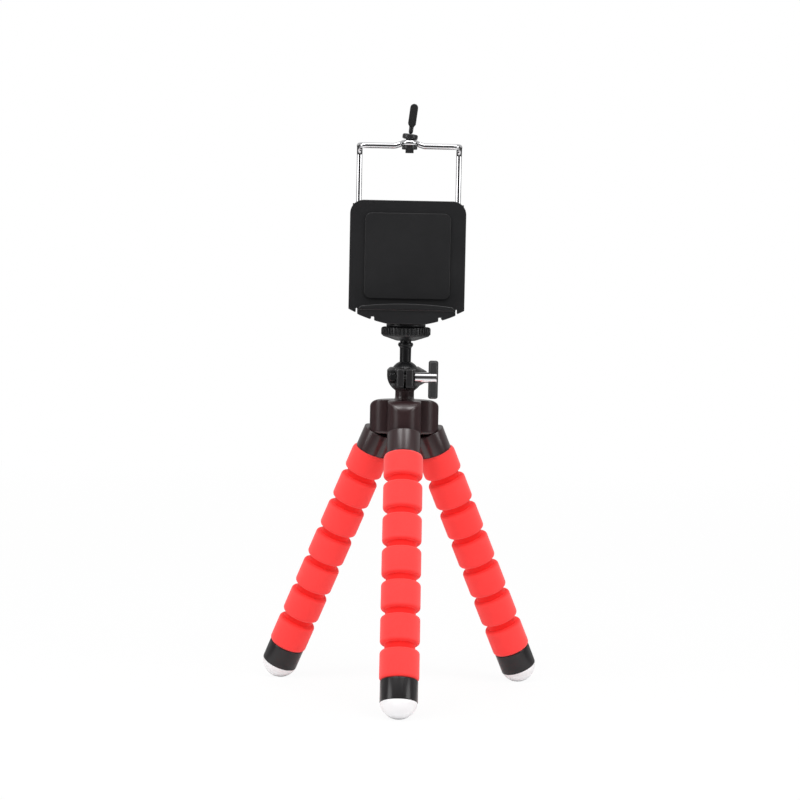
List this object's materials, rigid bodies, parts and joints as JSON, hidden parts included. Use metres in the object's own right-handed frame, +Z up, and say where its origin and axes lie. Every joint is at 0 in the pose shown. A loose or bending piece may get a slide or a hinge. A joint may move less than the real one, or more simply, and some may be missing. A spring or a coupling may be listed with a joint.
{
  "type": "flexible-leg phone tripod",
  "caption": "Small tripod with bendable ribbed foam legs, a lobed hub, a ball head with a T-handled clamp screw, and a sprung wire-jaw holder that grips a device by its edges",
  "frame": {"origin": "centre of the footprint of the three feet's bounding box, on the surface it stands on", "axes": "+Z up, one leg forward along -Y, +X to the right seen from the front"},
  "size_m": [0.1258, 0.1112, 0.2615],
  "materials": {
    "hub_plastic": "gloss",
    "ring_plastic": "gloss",
    "black_plastic": "satin",
    "black_metal": "satin",
    "bright_chrome": "polished",
    "steel": "satin",
    "insert_brass": "satin",
    "nylon": "satin",
    "red_foam": "matte",
    "black_rubber": "matte",
    "white_rubber": "satin"
  },
  "bodies": {
    "hub": {"hub": "hub_plastic", "base_plate": "black_plastic", "base_screw": "steel", "clamp_nut": "steel", "armature_roots": "steel", "front_leg_cap": "hub_plastic", "right_leg_cap": "hub_plastic", "left_leg_cap": "hub_plastic"},
    "ball_seat": {"ball_seat": "nylon"},
    "ball_stud": {"ball_stud": "black_metal", "camera_screw": "steel"},
    "clamp_screw": {"clamp_screw": "bright_chrome", "clamp_handle": "black_plastic"},
    "wheel_washer": {"wheel_washer": "black_plastic"},
    "locking_wheel": {"locking_wheel": "black_plastic", "wheel_insert": "insert_brass"},
    "device_clamp": {"clamp_body": "black_plastic", "back_cover": "black_plastic", "cover_screws": "steel", "nut_insert": "insert_brass", "seat_pad": "black_rubber", "grip_pad": "black_rubber", "return_springs": "steel"},
    "wire_jaw": {"wire_jaw": "bright_chrome", "crosshead": "black_plastic", "bumper": "black_rubber"},
    "pull_tab": {"pull_tab": "black_rubber"},
    "front_leg_1": {"front_leg_segment_1": "red_foam"},
    "front_leg_2": {"front_leg_segment_2": "red_foam"},
    "front_leg_3": {"front_leg_segment_3": "red_foam"},
    "front_leg_4": {"front_leg_segment_4": "red_foam"},
    "front_leg_5": {"front_leg_segment_5": "red_foam"},
    "front_leg_6": {"front_leg_segment_6": "red_foam"},
    "front_leg_7": {"front_leg_segment_7": "red_foam", "front_leg_ring": "ring_plastic", "front_leg_foot": "white_rubber"},
    "right_leg_1": {"right_leg_segment_1": "red_foam"},
    "right_leg_2": {"right_leg_segment_2": "red_foam"},
    "right_leg_3": {"right_leg_segment_3": "red_foam"},
    "right_leg_4": {"right_leg_segment_4": "red_foam"},
    "right_leg_5": {"right_leg_segment_5": "red_foam"},
    "right_leg_6": {"right_leg_segment_6": "red_foam"},
    "right_leg_7": {"right_leg_segment_7": "red_foam", "right_leg_ring": "ring_plastic", "right_leg_foot": "white_rubber"},
    "left_leg_1": {"left_leg_segment_1": "red_foam"},
    "left_leg_2": {"left_leg_segment_2": "red_foam"},
    "left_leg_3": {"left_leg_segment_3": "red_foam"},
    "left_leg_4": {"left_leg_segment_4": "red_foam"},
    "left_leg_5": {"left_leg_segment_5": "red_foam"},
    "left_leg_6": {"left_leg_segment_6": "red_foam"},
    "left_leg_7": {"left_leg_segment_7": "red_foam", "left_leg_ring": "ring_plastic", "left_leg_foot": "white_rubber"}
  },
  "joints": [
    {"name": "ball_pan", "type": "hinge", "parent": "hub", "child": "ball_seat", "pos_m": [0, 0.01576, 0.14183], "axis": [0, 0, 1], "continuous": true},
    {"name": "ball_tilt", "type": "hinge", "parent": "ball_seat", "child": "ball_stud", "pos_m": [0, 0.01576, 0.14183], "axis": [1, 0, 0], "range_deg": [-30, 30]},
    {"name": "clamp_screw_turn", "type": "hinge", "parent": "hub", "child": "clamp_screw", "pos_m": [0, 0.00646, 0.14133], "axis": [1, 0, 0], "range_deg": [-270, 0]},
    {"name": "wheel_drop", "type": "slide", "parent": "ball_stud", "child": "wheel_washer", "axis": [0, 0, 1], "range_m": [-0.00053, 0]},
    {"name": "wheel_turn", "type": "hinge", "parent": "wheel_washer", "child": "locking_wheel", "pos_m": [0, 0.01576, 0.15934], "axis": [0, 0, 1], "range_deg": [-150, 0]},
    {"name": "clamp_turn", "type": "hinge", "parent": "ball_stud", "child": "device_clamp", "pos_m": [0, 0.01576, 0.16473], "axis": [0, 0, 1], "range_deg": [-180, 180]},
    {"name": "jaw_slide", "type": "slide", "parent": "device_clamp", "child": "wire_jaw", "axis": [0, 0, 1], "range_m": [-0.016, 0.014], "deforming": ["return_springs"]},
    {"name": "pull_tab_flex", "type": "hinge", "parent": "wire_jaw", "child": "pull_tab", "pos_m": [0.0004, 0.01026, 0.24926], "axis": [0, 1, 0], "range_deg": [-40, 40], "stiffness_Nm_per_rad": 0.002},
    {"name": "front_leg_sweep", "type": "hinge", "parent": "hub", "child": "front_leg_1", "pos_m": [0, -0.00065, 0.10739], "axis": [0, -0.9048, 0.4258], "range_deg": [-15, 15]},
    {"name": "front_leg_bend_1", "type": "hinge", "parent": "front_leg_1", "child": "front_leg_2", "pos_m": [0, -0.00593, 0.09617], "axis": [1, 0, 0], "range_deg": [-18, 8]},
    {"name": "front_leg_bend_2", "type": "hinge", "parent": "front_leg_2", "child": "front_leg_3", "pos_m": [0, -0.01232, 0.0826], "axis": [1, 0, 0], "range_deg": [-18, 8]},
    {"name": "front_leg_bend_3", "type": "hinge", "parent": "front_leg_3", "child": "front_leg_4", "pos_m": [0, -0.0187, 0.06903], "axis": [1, 0, 0], "range_deg": [-18, 8]},
    {"name": "front_leg_bend_4", "type": "hinge", "parent": "front_leg_4", "child": "front_leg_5", "pos_m": [0, -0.02509, 0.05545], "axis": [1, 0, 0], "range_deg": [-18, 8]},
    {"name": "front_leg_bend_5", "type": "hinge", "parent": "front_leg_5", "child": "front_leg_6", "pos_m": [0, -0.03148, 0.04188], "axis": [1, 0, 0], "range_deg": [-18, 8]},
    {"name": "front_leg_bend_6", "type": "hinge", "parent": "front_leg_6", "child": "front_leg_7", "pos_m": [0, -0.03786, 0.02831], "axis": [1, 0, 0], "range_deg": [-18, 8]},
    {"name": "right_leg_sweep", "type": "hinge", "parent": "hub", "child": "right_leg_1", "pos_m": [0.01421, 0.02396, 0.10739], "axis": [0.7836, 0.4524, 0.4258], "range_deg": [-15, 15]},
    {"name": "right_leg_bend_1", "type": "hinge", "parent": "right_leg_1", "child": "right_leg_2", "pos_m": [0.01878, 0.0266, 0.09617], "axis": [-0.5, 0.866, 0], "range_deg": [-18, 8]},
    {"name": "right_leg_bend_2", "type": "hinge", "parent": "right_leg_2", "child": "right_leg_3", "pos_m": [0.02431, 0.02979, 0.0826], "axis": [-0.5, 0.866, 0], "range_deg": [-18, 8]},
    {"name": "right_leg_bend_3", "type": "hinge", "parent": "right_leg_3", "child": "right_leg_4", "pos_m": [0.02985, 0.03299, 0.06903], "axis": [-0.5, 0.866, 0], "range_deg": [-18, 8]},
    {"name": "right_leg_bend_4", "type": "hinge", "parent": "right_leg_4", "child": "right_leg_5", "pos_m": [0.03538, 0.03618, 0.05545], "axis": [-0.5, 0.866, 0], "range_deg": [-18, 8]},
    {"name": "right_leg_bend_5", "type": "hinge", "parent": "right_leg_5", "child": "right_leg_6", "pos_m": [0.04091, 0.03938, 0.04188], "axis": [-0.5, 0.866, 0], "range_deg": [-18, 8]},
    {"name": "right_leg_bend_6", "type": "hinge", "parent": "right_leg_6", "child": "right_leg_7", "pos_m": [0.04644, 0.04257, 0.02831], "axis": [-0.5, 0.866, 0], "range_deg": [-18, 8]},
    {"name": "left_leg_sweep", "type": "hinge", "parent": "hub", "child": "left_leg_1", "pos_m": [-0.01421, 0.02396, 0.10739], "axis": [-0.7836, 0.4524, 0.4258], "range_deg": [-15, 15]},
    {"name": "left_leg_bend_1", "type": "hinge", "parent": "left_leg_1", "child": "left_leg_2", "pos_m": [-0.01878, 0.0266, 0.09617], "axis": [-0.5, -0.866, 0], "range_deg": [-18, 8]},
    {"name": "left_leg_bend_2", "type": "hinge", "parent": "left_leg_2", "child": "left_leg_3", "pos_m": [-0.02431, 0.02979, 0.0826], "axis": [-0.5, -0.866, 0], "range_deg": [-18, 8]},
    {"name": "left_leg_bend_3", "type": "hinge", "parent": "left_leg_3", "child": "left_leg_4", "pos_m": [-0.02985, 0.03299, 0.06903], "axis": [-0.5, -0.866, 0], "range_deg": [-18, 8]},
    {"name": "left_leg_bend_4", "type": "hinge", "parent": "left_leg_4", "child": "left_leg_5", "pos_m": [-0.03538, 0.03618, 0.05545], "axis": [-0.5, -0.866, 0], "range_deg": [-18, 8]},
    {"name": "left_leg_bend_5", "type": "hinge", "parent": "left_leg_5", "child": "left_leg_6", "pos_m": [-0.04091, 0.03938, 0.04188], "axis": [-0.5, -0.866, 0], "range_deg": [-18, 8]},
    {"name": "left_leg_bend_6", "type": "hinge", "parent": "left_leg_6", "child": "left_leg_7", "pos_m": [-0.04644, 0.04257, 0.02831], "axis": [-0.5, -0.866, 0], "range_deg": [-18, 8]}
  ],
  "couplings": [
    {"joint": "wheel_drop", "follows": "wheel_turn", "m_per_rad": 0.00020213}
  ]
}
